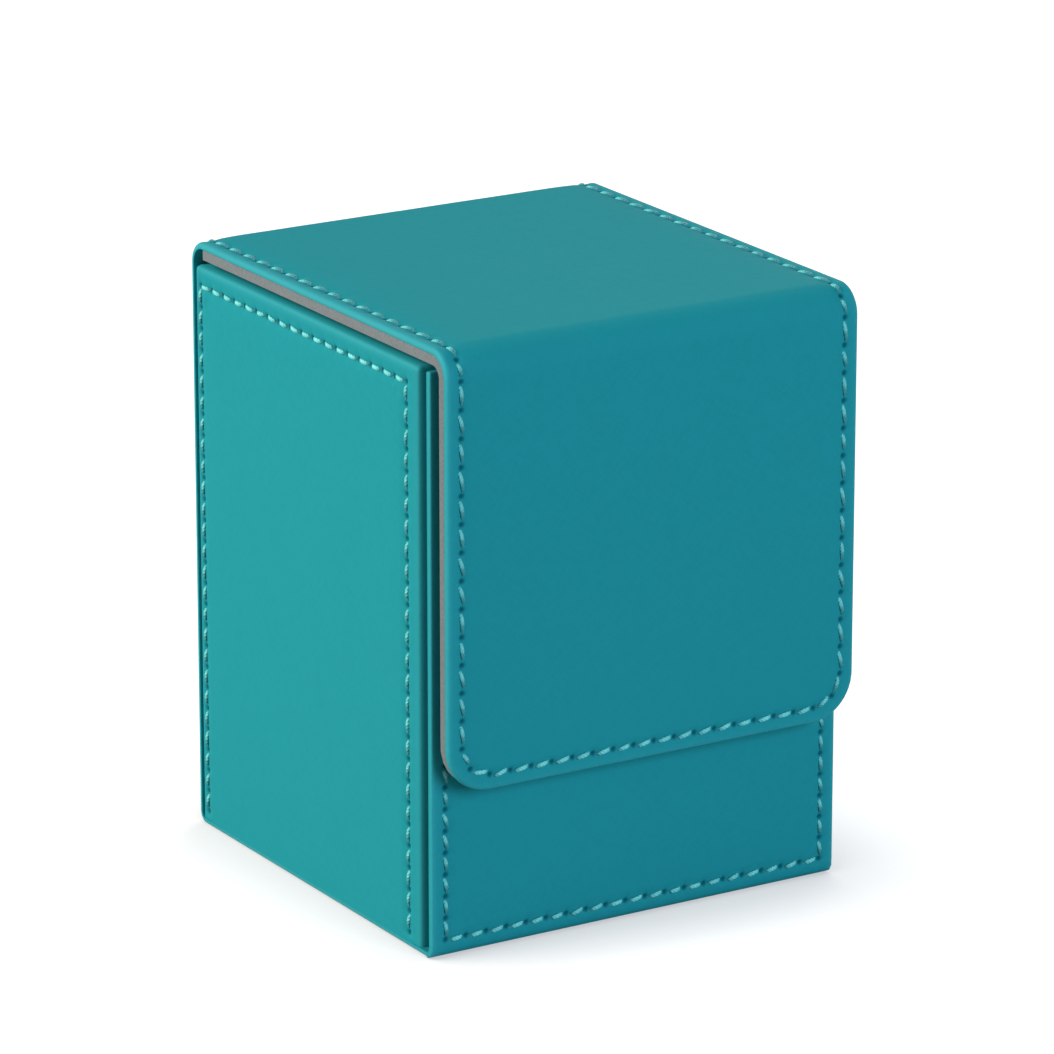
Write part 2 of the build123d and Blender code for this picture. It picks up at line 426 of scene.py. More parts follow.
def piece(bm, name, slot, nodes, crease=50):
    """An object of a finished bmesh, in the material of its slot. It stands for CAD nodes."""
    mesh = bpy.data.meshes.new(name)
    for face in bm.faces:
        face.smooth = True
    bm.to_mesh(mesh)
    bm.free()
    mesh.set_sharp_from_angle(angle=math.radians(crease))
    mesh.materials.append(finish(slot))
    made = bpy.data.objects.new(name, mesh)
    bpy.context.scene.collection.objects.link(made)
    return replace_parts(made, *nodes)


# Panels of the strip that are padded, and the seams: needle holes, and the thread between them


def cover_area(sizes):
    """The strip's padded stretch over the flap, lid and back."""
    return Outline(STRIP_WIDTH, span("flap", "back"), ALL_SIDES, 0, sizes.flap_corner)


def front_area(sizes):
    """The strip's padded stretch on the front panel."""
    return Outline(STRIP_WIDTH, span("front", "front"), ALL_SIDES, 0, sizes.turned_edge)


def needle_points(start, runs):
    """Needle holes spread evenly along straight runs, each given by its end and its pitch."""
    points = [Vector(start)]
    for end, pitch in runs:
        first, step = points[-1], Vector(end) - points[-1]
        count = max(1, round(step.length / pitch))
        points += [first + step * (i + 1) / count for i in range(count)]
    return points


def strip_seam(sizes):
    """The closed seam round the back, lid and flap, from the left end of the back's foot."""
    edge = sizes.seam_inset - HALF_WIDTH
    corner = sizes.flap_corner
    inner = corner - HALF_WIDTH
    half_turn = (corner - sizes.seam_inset) * math.sqrt(0.5)
    above_bend = 0.6 * MM
    back_foot = LEGS["back"][1] - above_bend
    left = needle_points((edge, back_foot), [
        ((edge, LEGS["hinge"][1]), sizes.panel_pitch),
        ((edge, LEGS["hinge"][0]), sizes.panel_pitch),
        ((edge, LEGS["lid"][0]), sizes.cover_pitch),
        ((edge, LEGS["flap"][1]), sizes.panel_pitch),
        ((edge, corner), sizes.cover_pitch),
        ((inner - half_turn, corner - half_turn), sizes.panel_pitch),
        ((inner, sizes.seam_inset), sizes.panel_pitch),
    ])
    right = [Vector((-point.x, point.y)) for point in reversed(left)]
    flap_row = needle_points(left[-1], [(right[0], sizes.panel_pitch)])
    back_row = needle_points(right[-1], [(left[0], sizes.panel_pitch)])
    return left + flap_row[1:-1] + right + back_row[1:-1] + left[:1]


def front_seam(sizes):
    """The closed seam round the front panel, from its lower left corner."""
    edge = HALF_WIDTH - sizes.seam_inset
    above_bend = 1.3 * MM
    foot = LEGS["front"][0] + above_bend
    head = LEGS["front"][1] - sizes.seam_inset
    pitch = sizes.panel_pitch
    around = needle_points((-edge, foot), [
        ((-edge, head), pitch),
        ((edge, head), pitch),
        ((edge, foot), pitch),
        ((-edge, foot), pitch),
    ])
    return around[:-1] + around[:1]


def side_seam(sizes, side, low, high):
    """The seam up the front, along the top and down the back of a side panel."""
    front, back = low.y + sizes.side_front, high.y - sizes.side_back
    foot, head = low.z + sizes.side_foot, high.z - sizes.side_head
    return needle_points((side * front, foot), [
        ((side * front, head), sizes.panel_pitch),
        ((side * back, head), sizes.panel_pitch),
        ((side * back, foot), sizes.panel_pitch),
    ])


# How uneven the sewing is: the spread of a length's slant in degrees and of its reach, and its
# darkest shade
SLANT_SPREAD = 3.5
REACH_SPREAD = 0.06
DARKEST_SHADE = 0.82

# A length of thread in shares of its thickness: how high it arches, how deep its ends go, how much deeper
# a tight one lies, how much it thickens to its ends and how round it stays
ARCH = 0.22
END_DEPTH = 0.7
TIGHT_DEPTH = 0.12
END_SWELL = 0.6
ROUNDNESS = 0.65


def thread_between(seam, place, sizes, seed, slant=11, stretch=None):
    """Thread from hole to hole of a seam, or of the part of it that a stretch of the strip holds.

    Each length is a ball drawn out along the seam, arched, slanted by so many degrees and uneven. It
    differs at random in shade from the next one, and carries a painted highlight that fades to painted
    shade towards the ends that go down into the holes. Lengths that run along a sheet are sewn tighter and
    lie deeper; they are dimmed by painted shade, and their painted highlight sits at the end that comes up
    out of its hole."""
    chance = random.Random(seed)
    bm = bmesh.new()
    ply = bm.loops.layers.uv.new("ply")
    tone_and_painted_light = bm.verts.layers.float.new("tone_and_painted_light")
    for first, last in zip(seam, seam[1:]):
        turn = chance.gauss(slant, SLANT_SPREAD)
        reach = chance.gauss(1, REACH_SPREAD)
        shade = chance.uniform(DARKEST_SHADE, 1)
        middle = (first + last) / 2
        if stretch and not stretch[0] < middle.y < stretch[1]:
            continue
        along = Matrix.Rotation(math.radians(turn), 2) @ (last - first).normalized()
        beside = Vector((-along.y, along.x))
        tight = abs(along.y)
        half = ((last - first).length - 0.75 * sizes.needle) / 2 * reach
        sunk = 0.4 * sizes.seam_depth
        # Painted light: each length peaks in a painted highlight and fades to painted shade at its ends,
        # and lengths along a sheet are dimmed by painted shade.
        painted_highlight_at = 0.5 * along.y
        painted_highlight_half = 0.8 - 0.25 * tight
        painted_column_shade = 1 - 0.3 * tight
        made = bmesh.ops.create_uvsphere(bm, u_segments=8, v_segments=9, radius=1)["verts"]
        ball = {vert: vert.co.copy() for vert in made}
        for vert, (wide, high, t) in ball.items():
            radius = sizes.thread / 2 * math.sqrt(1 + END_SWELL * t * t)
            arch = sizes.thread * (ARCH * (1 - t * t) - END_DEPTH * t ** 6 - TIGHT_DEPTH * tight)
            spot = middle + half * t * along + radius * wide * beside
            vert.co = (*spot, arch + ROUNDNESS * radius * high - sunk)
            bright = (t - painted_highlight_at) / painted_highlight_half
            vert[tone_and_painted_light] = shade * painted_column_shade * math.exp(-bright ** 4)
        for loop in {loop for vert in made for loop in vert.link_loops}:
            wide, high, t = ball[loop.vert]
            loop[ply].uv = (half * t, math.atan2(wide, high) / math.tau)
    bmesh.ops.recalc_face_normals(bm, faces=bm.faces[:])
    for vert in bm.verts:
        vert.co = place(*vert.co)
    return bm


# Materials


def add(tree, kind, inputs=None, **settings):
    """Adds a node with its settings. Each input is a value or the output that is linked to it."""
    node = tree.nodes.new("ShaderNode" + kind)
    for name, value in settings.items():
        setattr(node, name, value)
    for key, value in (inputs or {}).items():
        if isinstance(value, bpy.types.NodeSocket):
            tree.links.new(value, node.inputs[key])
        else:
            node.inputs[key].default_value = value
    return node


def new_material(name):
    """A new material with its node tree and its shader."""
    made = bpy.data.materials.new(name)
    made.use_nodes = True
    return made, made.node_tree, made.node_tree.nodes["Principled BSDF"]


def seen_directly(tree):
    """1 for rays from the camera, off a gloss or through glass, and 0 for the rest."""
    rays = add(tree, "LightPath").outputs
    either = add(tree, "Math", {0: rays["Is Camera Ray"], 1: rays["Is Glossy Ray"]}, operation="MAXIMUM")
    any_one = {0: either.outputs[0], 1: rays["Is Transmission Ray"]}
    return add(tree, "Math", any_one, operation="MAXIMUM").outputs[0]


def make_leatherette(sizes, colours):
    # Polyurethane skin on a woven backing, hatched by a hot roller: a smooth matt face with a very fine
    # slanted hatching that hardly shows. It has almost no gloss except where it is rubbed along its edges,
    # where it is also made lighter by a painted highlight, and painted shade darkens it where a needle has
    # gone in.
    made, tree, shader = new_material("Embossed PU leatherette")
    flat = add(tree, "UVMap", uv_map="flat").outputs["UV"]
    strokes = []
    for turn in (-50, 40):
        turned = add(tree, "Mapping", {"Vector": flat, "Rotation": (0, 0, math.radians(turn))}).outputs[0]
        ridge = add(tree, "TexWave", {
            "Vector": turned,
            "Scale": math.tau / 20 / sizes.hatch,
            "Distortion": 1.2,
            "Detail": 1,
            "Detail Scale": 0.5,
        })
        drawn_out = (0.5 / sizes.hatch, 0.15 / sizes.hatch, 1)
        drawn = add(tree, "Mapping", {"Vector": turned, "Scale": drawn_out})
        breaks = add(tree, "TexNoise", {"Vector": drawn.outputs[0], "Scale": 1, "Detail": 1})
        left = add(tree, "MapRange", {"Value": breaks.outputs[0], "From Min": 0.35, "From Max": 0.6})
        strokes.append(add(tree, "Math", {0: ridge.outputs[1], 1: left.outputs[0]}, operation="MULTIPLY"))
    hatch = add(tree, "Math", {0: strokes[0].outputs[0], 1: strokes[1].outputs[0]}, operation="MAXIMUM")
    cloud = add(tree, "TexNoise", {"Vector": flat, "Scale": 1 / (9 * MM), "Detail": 2})
    raised = add(tree, "MapRange", {"Value": hatch.outputs[0], "To Min": 0.975, "To Max": 1.025})
    patchy = add(tree, "MapRange", {"Value": cloud.outputs[0], "To Min": 0.98, "To Max": 1.02})
    wear_and_painted_highlight = add(tree, "Attribute", attribute_name="wear_and_painted_highlight").outputs["Fac"]
    # Painted highlight: the skin's colour is made lighter towards its edges.
    painted_edge_highlight = add(tree, "MapRange", {"Value": wear_and_painted_highlight, "To Min": 1, "To Max": 1.12})
    level = add(tree, "Math", {0: raised.outputs[0], 1: patchy.outputs[0]}, operation="MULTIPLY")
    level = add(tree, "Math", {0: level.outputs[0], 1: painted_edge_highlight.outputs[0]}, operation="MULTIPLY")
    skin = add(tree, "VectorMath", {0: colours.leatherette, "Scale": level.outputs[0]}, operation="SCALE")
    pricked = add(tree, "Attribute", attribute_name="pricked").outputs["Fac"]
    # Painted shade: the needle colour is mixed into the skin where it is pricked.
    hole = add(tree, "MapRange", {"Value": pricked, "From Min": 0.25, "From Max": 0.8})
    tones = {0: hole.outputs[0], 6: skin.outputs[0], 7: (*colours.needle, 1)}
    shown = add(tree, "Mix", tones, data_type="RGBA")
    gloss = add(tree, "MapRange", {"Value": wear_and_painted_highlight, "To Min": 0.03, "To Max": 0.25})
    bump = add(tree, "Bump", {"Strength": 0.3, "Distance": 0.02 * MM, "Height": hatch.outputs[0]})
    tree.links.new(shown.outputs[2], shader.inputs["Base Color"])
    tree.links.new(bump.outputs[0], shader.inputs["Normal"])
    tree.links.new(gloss.outputs[0], shader.inputs["Specular IOR Level"])
    shader.inputs["Roughness"].default_value = 0.6
    return made


def make_thread(sizes, colours):
    # Polyester sewing thread of two plies: twisted strands with a soft sheen. The dark lines between the
    # plies are painted shade, and each length blends from a painted-shade colour at its ends to a lighter
    # colour where its painted highlight sits.
    made, tree, shader = new_material("Twisted polyester thread")
    ply = add(tree, "SeparateXYZ", {0: add(tree, "UVMap", uv_map="ply").outputs["UV"]})
    winding = {0: ply.outputs[0], 1: 1 / sizes.twist, 2: ply.outputs[1]}
    turned = add(tree, "Math", winding, operation="MULTIPLY_ADD")
    phase = add(tree, "Math", {0: turned.outputs[0], 1: 2 * math.tau}, operation="MULTIPLY")
    strand = add(tree, "Math", {0: phase.outputs[0]}, operation="SINE")
    tone_and_painted_light = add(tree, "Attribute", attribute_name="tone_and_painted_light").outputs["Fac"]
    # Painted light: the attribute blends each length from its painted-shade colour to its highlight colour.
    ends = {0: tone_and_painted_light, 6: (*colours.thread_painted_shade, 1), 7: (*colours.thread, 1)}
    with_painted_light = add(tree, "Mix", ends, data_type="RGBA").outputs[2]
    # Painted shade in the dark lines between the plies.
    ply_painted_shade_range = {"Value": strand.outputs[0], "From Min": -1, "To Min": 0.86, "To Max": 1.06}
    shade = add(tree, "MapRange", ply_painted_shade_range)
    shown = add(tree, "VectorMath", {0: with_painted_light, "Scale": shade.outputs[0]}, operation="SCALE")
    bump = add(tree, "Bump", {"Strength": 0.7, "Distance": 0.06 * MM, "Height": strand.outputs[0]})
    tree.links.new(shown.outputs[0], shader.inputs["Base Color"])
    tree.links.new(bump.outputs[0], shader.inputs["Normal"])
    shader.inputs["Roughness"].default_value = 0.4
    shader.inputs["Specular IOR Level"].default_value = 0.4
    return made


def make_felt(sizes, colours):
    # Needled polyester felt: fibres lie every way, so it is dull and slightly mottled with a pale fuzz.
    made, tree, shader = new_material("Needled polyester felt")
    flat = add(tree, "UVMap", uv_map="flat").outputs["UV"]
    tufts = add(tree, "TexNoise", {"Vector": flat, "Scale": 1 / sizes.fibre, "Detail": 4, "Roughness": 0.7})
    blotch = add(tree, "TexNoise", {"Vector": flat, "Scale": 1 / (6 * sizes.fibre), "Detail": 2})
    fine = add(tree, "MapRange", {
        "Value": tufts.outputs[0],
        "From Min": 0.3,
        "From Max": 0.7,
        "To Min": 0.8,
        "To Max": 1.15,
    })
    wide = add(tree, "MapRange", {"Value": blotch.outputs[0], "To Min": 0.93, "To Max": 1.07})
    level = add(tree, "Math", {0: fine.outputs[0], 1: wide.outputs[0]}, operation="MULTIPLY")
    shown = add(tree, "VectorMath", {0: colours.felt, "Scale": level.outputs[0]}, operation="SCALE")
    bump = add(tree, "Bump", {"Strength": 0.8, "Distance": 0.15 * MM, "Height": tufts.outputs[0]})
    tree.links.new(shown.outputs[0], shader.inputs["Base Color"])
    tree.links.new(bump.outputs[0], shader.inputs["Normal"])
    shader.inputs["Roughness"].default_value = 0.95
    shader.inputs["Specular IOR Level"].default_value = 0.1
    shader.inputs["Sheen Weight"].default_value = 0.15
    return made


def make_board(sizes, colours):
    # Pressed recycled greyboard: a dull face with paper specks.
    made, tree, shader = new_material("Pressed greyboard")
    place = add(tree, "TexCoord").outputs["Object"]
    specks = add(tree, "TexNoise", {"Vector": place, "Scale": 1 / (0.8 * MM), "Detail": 3})
    level = add(tree, "MapRange", {"Value": specks.outputs[0], "To Min": 0.8, "To Max": 1.2})
    shown = add(tree, "VectorMath", {0: colours.board, "Scale": level.outputs[0]}, operation="SCALE")
    tree.links.new(shown.outputs[0], shader.inputs["Base Color"])
    shader.inputs["Roughness"].default_value = 0.9
    return made


def make_plating(sizes, colours):
    # Bright nickel plated on a pressed magnet: a clean mirror blurred by fine tumbling marks.
    made, tree, shader = new_material("Nickel plating")
    place = add(tree, "TexCoord").outputs["Object"]
    marks = add(tree, "TexNoise", {"Vector": place, "Scale": 1 / (0.6 * MM), "Detail": 2})
    rough = add(tree, "MapRange", {"Value": marks.outputs[0], "To Min": 0.2, "To Max": 0.36})
    tree.links.new(rough.outputs[0], shader.inputs["Roughness"])
    shader.inputs["Base Color"].default_value = (*colours.plating, 1)
    shader.inputs["Metallic"].default_value = 1
    return made


MAKERS = {
    "leatherette": make_leatherette,
    "thread": make_thread,
    "felt": make_felt,
    "greyboard": make_board,
    "magnet_plating": make_plating,
}


def finish(slot):
    """The material of a slot, made on its first use."""
    found = [m for m in bpy.data.materials if m.get("card_box_slot") == slot]
    if found:
        return found[0]
    scene = bpy.context.scene
    made = MAKERS[slot](scene.card_box_sizes, scene.card_box_colours)
    made["card_box_slot"] = slot
    return made


# Operators, one for each piece or group of like pieces


def hinge_bend(made):
    """Bakes a piece's place into its mesh; it is not bent over the hinge."""
    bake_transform(made)


def fold_bend(made):
    """Bakes a piece's place into its mesh; it is not bent over the fold."""
    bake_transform(made)


class CARDBOX_OT_front_panel(bpy.types.Operator):
    """Leatherette over the front panel's board, with its seam"""

    bl_idname = "cardbox.front_panel"
    bl_label = "Front panel"

    def execute(self, context):
        sizes = context.scene.card_box_sizes
        stretch = span("front_foot", "front")
        outline = Outline(
            STRIP_WIDTH,
            stretch,
            ("left", "right", "head"),
            sizes.panel_edge,
            sizes.panel_edge,
        )
        seam = front_seam(sizes)
        bm = sheet(outline, Skin(outline, sizes, [seam], front_area(sizes)), on_strip, LEATHER)
        made = piece(bm, "front_panel", "leatherette", ["front_leather"])
        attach(made, "box")
        bm = thread_between(seam, on_strip, sizes, seed=11)
        thread = piece(bm, "front_thread", "thread", ["front_stitching"], crease=180)
        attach(thread, "box")
        return {"FINISHED"}


class CARDBOX_OT_base_and_back(bpy.types.Operator):
    """Leatherette under the base and up the back, with its seam"""

    bl_idname = "cardbox.base_and_back"
    bl_label = "Base and back"

    def execute(self, context):
        sizes = context.scene.card_box_sizes
        outline = Outline(STRIP_WIDTH, span("base", "base"), ("left", "right"), sizes.cut_edge)
        bm = sheet(outline, Skin(outline, sizes), on_strip, LEATHER)
        base = piece(bm, "base_strip", "leatherette", ["base_leather"])

        stretch = span("back", "back_foot")
        outline = Outline(STRIP_WIDTH, stretch, ("left", "right"), sizes.cut_edge)
        seam = strip_seam(sizes)
        bm = sheet(outline, Skin(outline, sizes, [seam], cover_area(sizes)), on_strip, LEATHER)
        back = piece(bm, "back_strip", "leatherette", ["back_leather"])

        bm = thread_between(seam, on_strip, sizes, seed=12, stretch=stretch)
        thread = piece(bm, "back_thread", "thread", ["back_stitching"], crease=180)
        for made in (base, back, thread):
            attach(made, "box")
        return {"FINISHED"}


class CARDBOX_OT_rims(bpy.types.Operator):
    """Leatherette on the rims in front of the compartment and behind it"""

    bl_idname = "cardbox.rims"
    bl_label = "Rims"

    def execute(self, context):
        sizes = context.scene.card_box_sizes
        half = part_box("front_lining")[1].x
        edge = 0.4 * MM
        # Each rim runs from one y to another, and stands for the panel that it belongs to.
        rims = {
            "front": (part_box("front_board")[0].y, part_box("tray_front_board")[1].y),
            "back": (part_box("tray_back_board")[0].y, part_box("tray_back_board")[1].y),
        }
        place = on_plane((0, 0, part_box("front_leather")[1].z), (1, 0, 0), (0, 1, 0))
        for name, along in rims.items():
            outline = Outline((-half, half), along, ("foot", "head"), edge)
            bm = sheet(outline, Skin(outline, sizes), place, LEATHER)
            made = piece(bm, name + "_rim", "leatherette", [name + "_leather"])
            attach(made, "box")
        return {"FINISHED"}


class CARDBOX_OT_side_panels(bpy.types.Operator):
    """Leatherette turned over the boards of the two side panels, with their seams"""

    bl_idname = "cardbox.side_panels"
    bl_label = "Side panels"

    def execute(self, context):
        sizes = context.scene.card_box_sizes
        for name, side in (("right_side", 1), ("left_side", -1)):
            low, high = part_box(name + "_leather")
            depth = high.x - low.x
            outline = Outline(
                tuple(sorted((side * low.y, side * high.y))),
                (low.z, high.z),
                ("left", "right", "head"),
                sizes.turned_edge,
                sizes.turned_edge,
            )
            seam = side_seam(sizes, side, low, high)
            edge_foot = -0.9 * sizes.turned_edge

            def turned(bm):
                turn_down(bm, depth, lambda co: co.z < edge_foot)

            outer_x = high.x if side > 0 else low.x
            place = on_plane((outer_x, 0, 0), (0, side, 0), (0, 0, 1))
            skin = Skin(outline, sizes, [seam], outline, seed=5 + side)
            bm = sheet(outline, skin, place, LEATHER, turned=turned)
            made = piece(bm, name, "leatherette", [name + "_leather"])
            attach(made, "box")
            bm = thread_between(seam, place, sizes, seed=13 + side, slant=-5)
            thread = piece(bm, name + "_thread", "thread", [name + "_stitching"], crease=180)
            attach(thread, "box")
        return {"FINISHED"}


class CARDBOX_OT_lid_cover(bpy.types.Operator):
    """Leatherette over the hinge and the lid, with its seams"""

    bl_idname = "cardbox.lid_cover"
    bl_label = "Lid cover"

    def execute(self, context):
        sizes = context.scene.card_box_sizes
        stretch = span("lid", "hinge")
        outline = Outline(STRIP_WIDTH, stretch, ("left", "right"), sizes.cut_edge)
        seam = strip_seam(sizes)
        bends = bend_marks("hinge", step=0.35 * MM, count=18)
        skin = Skin(outline, sizes, [seam], cover_area(sizes))
        bm = sheet(outline, skin, on_strip, LEATHER, marks=((), bends))
        made = piece(bm, "lid_cover", "leatherette", ["lid_leather", "hinge_leather"])
        bm = thread_between(seam, on_strip, sizes, seed=15, stretch=stretch)
        thread = piece(bm, "lid_thread", "thread", ["lid_stitching"], crease=180)
        hinge_bend(made)
        hinge_bend(thread)
        return {"FINISHED"}


class CARDBOX_OT_flap_cover(bpy.types.Operator):
    """Leatherette over the fold and the flap, with its seam"""

    bl_idname = "cardbox.flap_cover"
    bl_label = "Flap cover"

    def execute(self, context):
        sizes = context.scene.card_box_sizes
        stretch = span("flap", "fold")
        outline = Outline(
            STRIP_WIDTH,
            stretch,
            ("left", "right", "foot"),
            sizes.cut_edge,
            sizes.flap_corner,
        )
        seam = strip_seam(sizes)
        bends = bend_marks("fold", step=0.4 * MM, count=20)
        skin = Skin(outline, sizes, [seam], cover_area(sizes))
        bm = sheet(outline, skin, on_strip, LEATHER, marks=((), bends))
        made = piece(bm, "flap_cover", "leatherette", ["flap_leather", "fold_leather"])
        bm = thread_between(seam, on_strip, sizes, seed=16, stretch=stretch)
        thread = piece(bm, "flap_thread", "thread", ["flap_stitching", "fold_stitching"], crease=180)
        fold_bend(made)
        fold_bend(thread)
        return {"FINISHED"}


class CARDBOX_OT_cover_felts(bpy.types.Operator):
    """Felt under the lid, the hinge and the flap, with the boards let into it"""

    bl_idname = "cardbox.cover_felts"
    bl_label = "Cover felts"

    def execute(self, context):
        sizes = context.scene.card_box_sizes
        inset = sizes.felt_setback
        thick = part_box("lid_leather")[0].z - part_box("lid_lining")[0].z

        low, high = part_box("lid_board")
        ahead = LEGS["lid"][0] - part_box("lid_leather")[0].y
        board = ((low.x, high.x), (low.y + ahead, high.y + ahead), high.z - low.z)
        lid = self.felt("lid", ["lid_lining"], span("lid", "lid"), thick, board)
        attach(lid, "lid")

        low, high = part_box("flap_board")
        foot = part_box("flap_leather")[0].z
        board = ((low.x, high.x), (low.z - foot, high.z - foot), high.y - low.y)
        start, end = span("flap", "fold")
        nodes = ["flap_lining", "fold_lining"]
        flap = self.felt("flap", nodes, (start + inset, end), thick, board, sizes.flap_corner - inset)
        fold_bend(flap)

        # The hinge's tape is thin and slit along its middle, where it parts as the lid opens.
        tape_thickness = 0.6 * MM
        tape_setback = 2.5 * MM
        start, end = span("hinge", "hinge")
        slit = (start + end) / 2
        for body, stretch in (("lid", (start, slit)), ("box", (slit, end))):
            name = "hinge_" + body
            tape = self.felt(name, ["hinge_lining"], stretch, tape_thickness, setback=tape_setback)
            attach(tape, body)
        return {"FINISHED"}

    def felt(self, name, nodes, stretch, thickness, board=None, corner=0, setback=None):
        """One felt, with a board's place and thickness, if it has one, let into its glued face."""
        sizes = bpy.context.scene.card_box_sizes
        half = HALF_WIDTH - (setback or sizes.felt_setback)
        wide = (-half, half)
        cut = ("left", "right", "foot") if corner else ("left", "right")
        outline = Outline(wide, stretch, cut, min(sizes.felt_edge, thickness / 3), corner)
        bends = [mark for leg in ("fold", "hinge") for mark in bend_marks(leg, step=0.45 * MM, count=25)]
        marks = ([], bends)
        recess = None
        if board:
            across, along, depth = board
            gap = 0.15 * MM
            for axis, ends in enumerate((across, along)):
                marks[axis].extend((ends[0] - gap, ends[0], ends[1], ends[1] + gap))

            def recess(u, s):
                inside = across[0] - gap / 2 < u < across[1] + gap / 2
                return depth if inside and along[0] - gap / 2 < s < along[1] + gap / 2 else 0

        skin = Skin(outline, sizes)
        bm = sheet(outline, skin, under_strip, thickness, marks=marks, recess=recess)
        made = piece(bm, name + "_felt", "felt", nodes)
        return made


class CARDBOX_OT_compartment(bpy.types.Operator):
    """Felt on the four walls and the floor of the card compartment"""

    bl_idname = "cardbox.compartment"
    bl_label = "Compartment"

    def execute(self, context):
        sizes = context.scene.card_box_sizes
        # Each felt's thickness lies along an axis, and its face is to the left of its first direction.
        walls = {
            "front": (1, (-1, 0, 0)),
            "back": (1, (1, 0, 0)),
            "right": (0, (0, -1, 0)),
            "left": (0, (0, 1, 0)),
            "floor": (2, (1, 0, 0)),
        }
        for number, (name, (axis, across)) in enumerate(walls.items()):
            low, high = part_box(name + "_lining")
            across = Vector(across)
            along = Vector((0, 1, 0)) if name == "floor" else Vector((0, 0, 1))
            origin = Vector((0, 0, 0))
            origin[axis] = high[axis] if across.cross(along)[axis] > 0 else low[axis]
            ends = [tuple(sorted((low.dot(step), high.dot(step)))) for step in (across, along)]
            thickness = high[axis] - low[axis]
            cut = () if name == "floor" else ("head",)
            edge = 0.35 * thickness
            outline = Outline(*ends, cut, edge)
            skin = Skin(outline, sizes, seed=20 + number)
            bm = sheet(outline, skin, on_plane(origin, across, along), thickness)
            made = piece(bm, name + "_felt", "felt", [name + "_lining"])
            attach(made, "box")
        return {"FINISHED"}


class CARDBOX_OT_boards_and_magnets(bpy.types.Operator):
    """Finishes of the boards and magnets that stay as they are in the frame"""

    bl_idname = "cardbox.boards_and_magnets"
    bl_label = "Boards and magnets"

    def execute(self, context):
        slots = {"_board": "greyboard", "_magnets": "magnet_plating"}
        for name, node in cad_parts.items():
            for ending, slot in slots.items():
                if name.endswith(ending):
                    node.data.materials.clear()
                    node.data.materials.append(finish(slot))
        return {"FINISHED"}


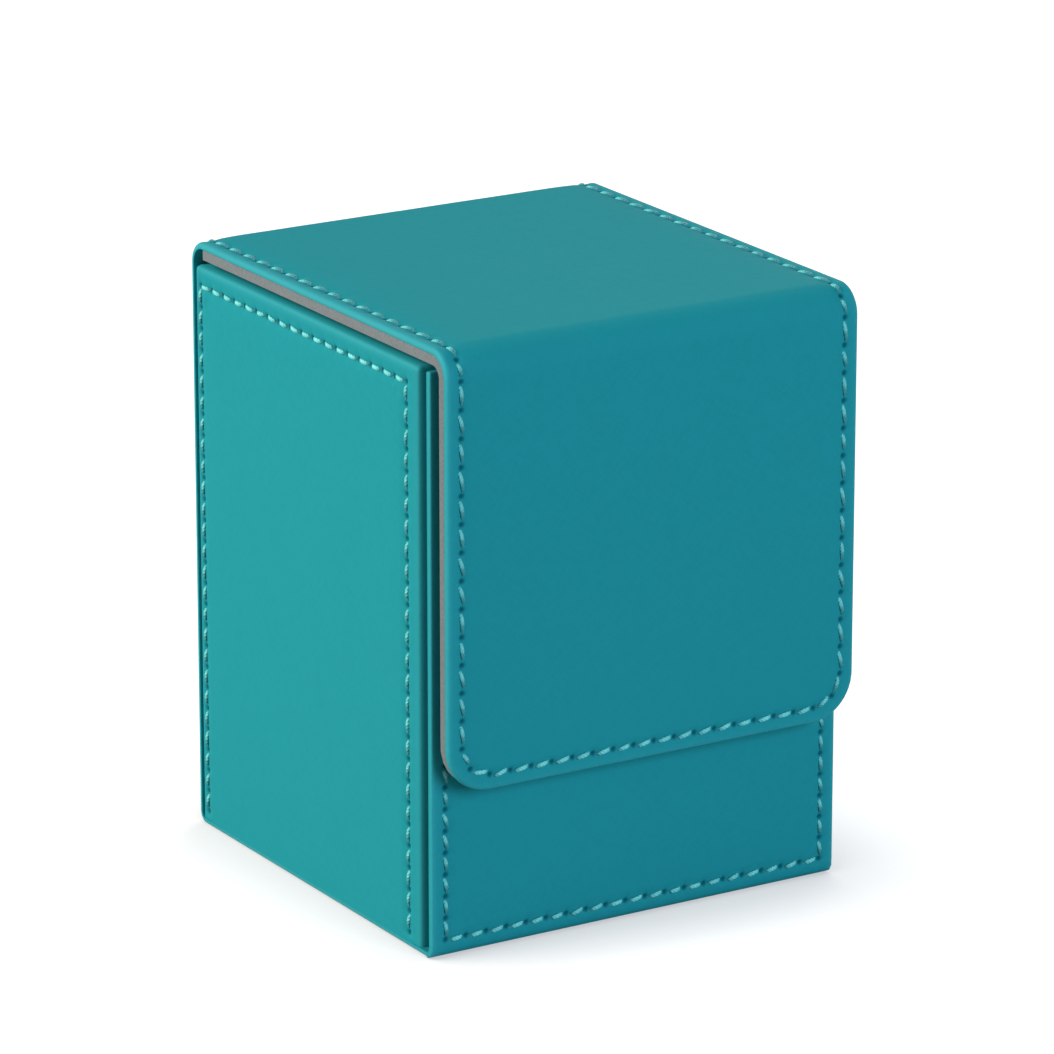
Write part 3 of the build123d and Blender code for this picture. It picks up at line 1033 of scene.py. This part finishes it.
class CARDBOX_OT_stage(bpy.types.Operator):
    """Floor, soft light and a camera at the photograph's angle"""

    bl_idname = "cardbox.stage"
    bl_label = "Stage"

    def execute(self, context):
        scene = context.scene
        scene.view_settings.view_transform = "Standard"
        self.floor(scene.card_box_colours)
        self.world(scene)
        # Each soft lamp: the way to it from the box, how bright it makes a white face, its size and tint.
        self.lamp("left", (-1, 0.38, 0.5), 1.15, 1.1, "#FFF4EA")
        self.lamp("front", (0.1, -0.9, 0.35), 0.57, 0.7, "#E0EDFF")
        self.lamp("right", (1, 0.6, 0.35), 0.25, 1.1, "#FFFFFF")
        data = bpy.data.cameras.new("camera")
        data.lens = 218.2
        data.clip_end = 20
        camera = bpy.data.objects.new("camera", data)
        camera.location = Vector((-543.8, -893.4, 384.9)) * MM
        camera.rotation_euler = [math.radians(angle) for angle in (90 - 17.34, 0, -31.47)]
        scene.collection.objects.link(camera)
        scene.camera = camera
        return {"FINISHED"}

    def floor(self, colours):
        """A wide white floor just under the box."""
        # Matt white paper: no gloss. Seen directly it glows white, and the soft grey where the box stands
        # close is
        # a painted contact shadow: ambient occlusion dims the glowing there. To the box it throws back less
        # light than it shows.
        gap = 0.05 * MM
        bm = bmesh.new()
        bmesh.ops.create_grid(bm, x_segments=1, y_segments=1, size=4)
        bmesh.ops.translate(bm, vec=(0, 0, cad_box[0][2] - gap), verts=bm.verts[:])
        mesh = bpy.data.meshes.new("floor")
        bm.to_mesh(mesh)
        bm.free()
        made, tree, shader = new_material("Matt white floor")
        tones = {0: seen_directly(tree), 6: (*colours.bounce, 1), 7: (*colours.floor, 1)}
        shown = add(tree, "Mix", tones, data_type="RGBA")
        tree.links.new(shown.outputs[2], shader.inputs["Base Color"])
        shader.inputs["Roughness"].default_value = 0.9
        shader.inputs["Specular IOR Level"].default_value = 0
        shader.inputs["Emission Color"].default_value = (1, 1, 1, 1)
        # Painted contact shadow: ambient occlusion near the box dims the floor's emission.
        near = add(tree, "AmbientOcclusion", {"Distance": 24 * MM}, samples=4).outputs["AO"]
        painted_contact_shadow = {"Value": near, "From Min": 0.5, "To Min": 0.46, "To Max": 0.84}
        level = add(tree, "MapRange", painted_contact_shadow)
        glow_with_painted_shadow = add(tree, "Math", {0: seen_directly(tree), 1: level.outputs[0]}, operation="MULTIPLY")
        tree.links.new(glow_with_painted_shadow.outputs[0], shader.inputs["Emission Strength"])
        mesh.materials.append(made)
        floor = bpy.data.objects.new("floor", mesh)
        bpy.context.scene.collection.objects.link(floor)

    def world(self, scene):
        """An even room, which is seen as white behind the box."""
        scene.world = bpy.data.worlds.new("room")
        scene.world.use_nodes = True
        tree = scene.world.node_tree
        shader = tree.nodes["Background"]
        shader.inputs["Color"].default_value = (1, 1, 1, 1)
        level = add(tree, "MapRange", {"Value": seen_directly(tree), "To Min": 0.14, "To Max": 1})
        tree.links.new(level.outputs[0], shader.inputs["Strength"])

    def lamp(self, name, towards, level, size, tint):
        """A soft square lamp that lights a facing white surface to a level."""
        away = 1.6
        middle = Vector((0, 0, 0.06))
        towards = Vector(towards).normalized()
        data = bpy.data.lights.new(name, "AREA")
        data.size = size
        data.energy = level * (math.pi * away) ** 2
        data.color = linear(tint)
        made = bpy.data.objects.new(name, data)
        made.location = away * towards + middle
        made.rotation_euler = towards.to_track_quat("Z", "Y").to_euler()
        bpy.context.scene.collection.objects.link(made)


OPERATORS = (
    CARDBOX_OT_front_panel,
    CARDBOX_OT_base_and_back,
    CARDBOX_OT_rims,
    CARDBOX_OT_side_panels,
    CARDBOX_OT_lid_cover,
    CARDBOX_OT_flap_cover,
    CARDBOX_OT_cover_felts,
    CARDBOX_OT_compartment,
    CARDBOX_OT_boards_and_magnets,
    CARDBOX_OT_stage,
)


class CARDBOX_PT_panel(bpy.types.Panel):
    """Lists the operators, sizes and colours of the card box"""

    bl_idname = "CARDBOX_PT_panel"
    bl_label = "Card Box"
    bl_space_type = "VIEW_3D"
    bl_region_type = "UI"
    bl_category = "Card Box"

    def draw(self, context):
        for operator in OPERATORS:
            self.layout.operator(operator.bl_idname)
        for group in (context.scene.card_box_sizes, context.scene.card_box_colours):
            box = self.layout.box()
            for name in group.bl_rna.properties.keys():
                if name not in ("rna_type", "name"):
                    box.prop(group, name)


CLASSES = (CardBoxSizes, CardBoxColours, *OPERATORS, CARDBOX_PT_panel)


def register():
    """Makes the classes known to Blender."""
    for known in CLASSES:
        bpy.utils.register_class(known)
    bpy.types.Scene.card_box_sizes = PointerProperty(type=CardBoxSizes)
    bpy.types.Scene.card_box_colours = PointerProperty(type=CardBoxColours)


def unregister():
    """Takes the classes out again."""
    del bpy.types.Scene.card_box_colours
    del bpy.types.Scene.card_box_sizes
    for known in reversed(CLASSES):
        bpy.utils.unregister_class(known)


def main():
    """Builds the box's looks and its stage."""
    register()
    bpy.ops.cardbox.front_panel()
    bpy.ops.cardbox.base_and_back()
    bpy.ops.cardbox.rims()
    bpy.ops.cardbox.side_panels()
    bpy.ops.cardbox.lid_cover()
    bpy.ops.cardbox.flap_cover()
    bpy.ops.cardbox.cover_felts()
    bpy.ops.cardbox.compartment()
    bpy.ops.cardbox.boards_and_magnets()
    bpy.ops.cardbox.stage()


if __name__ == "__main__":
    main()
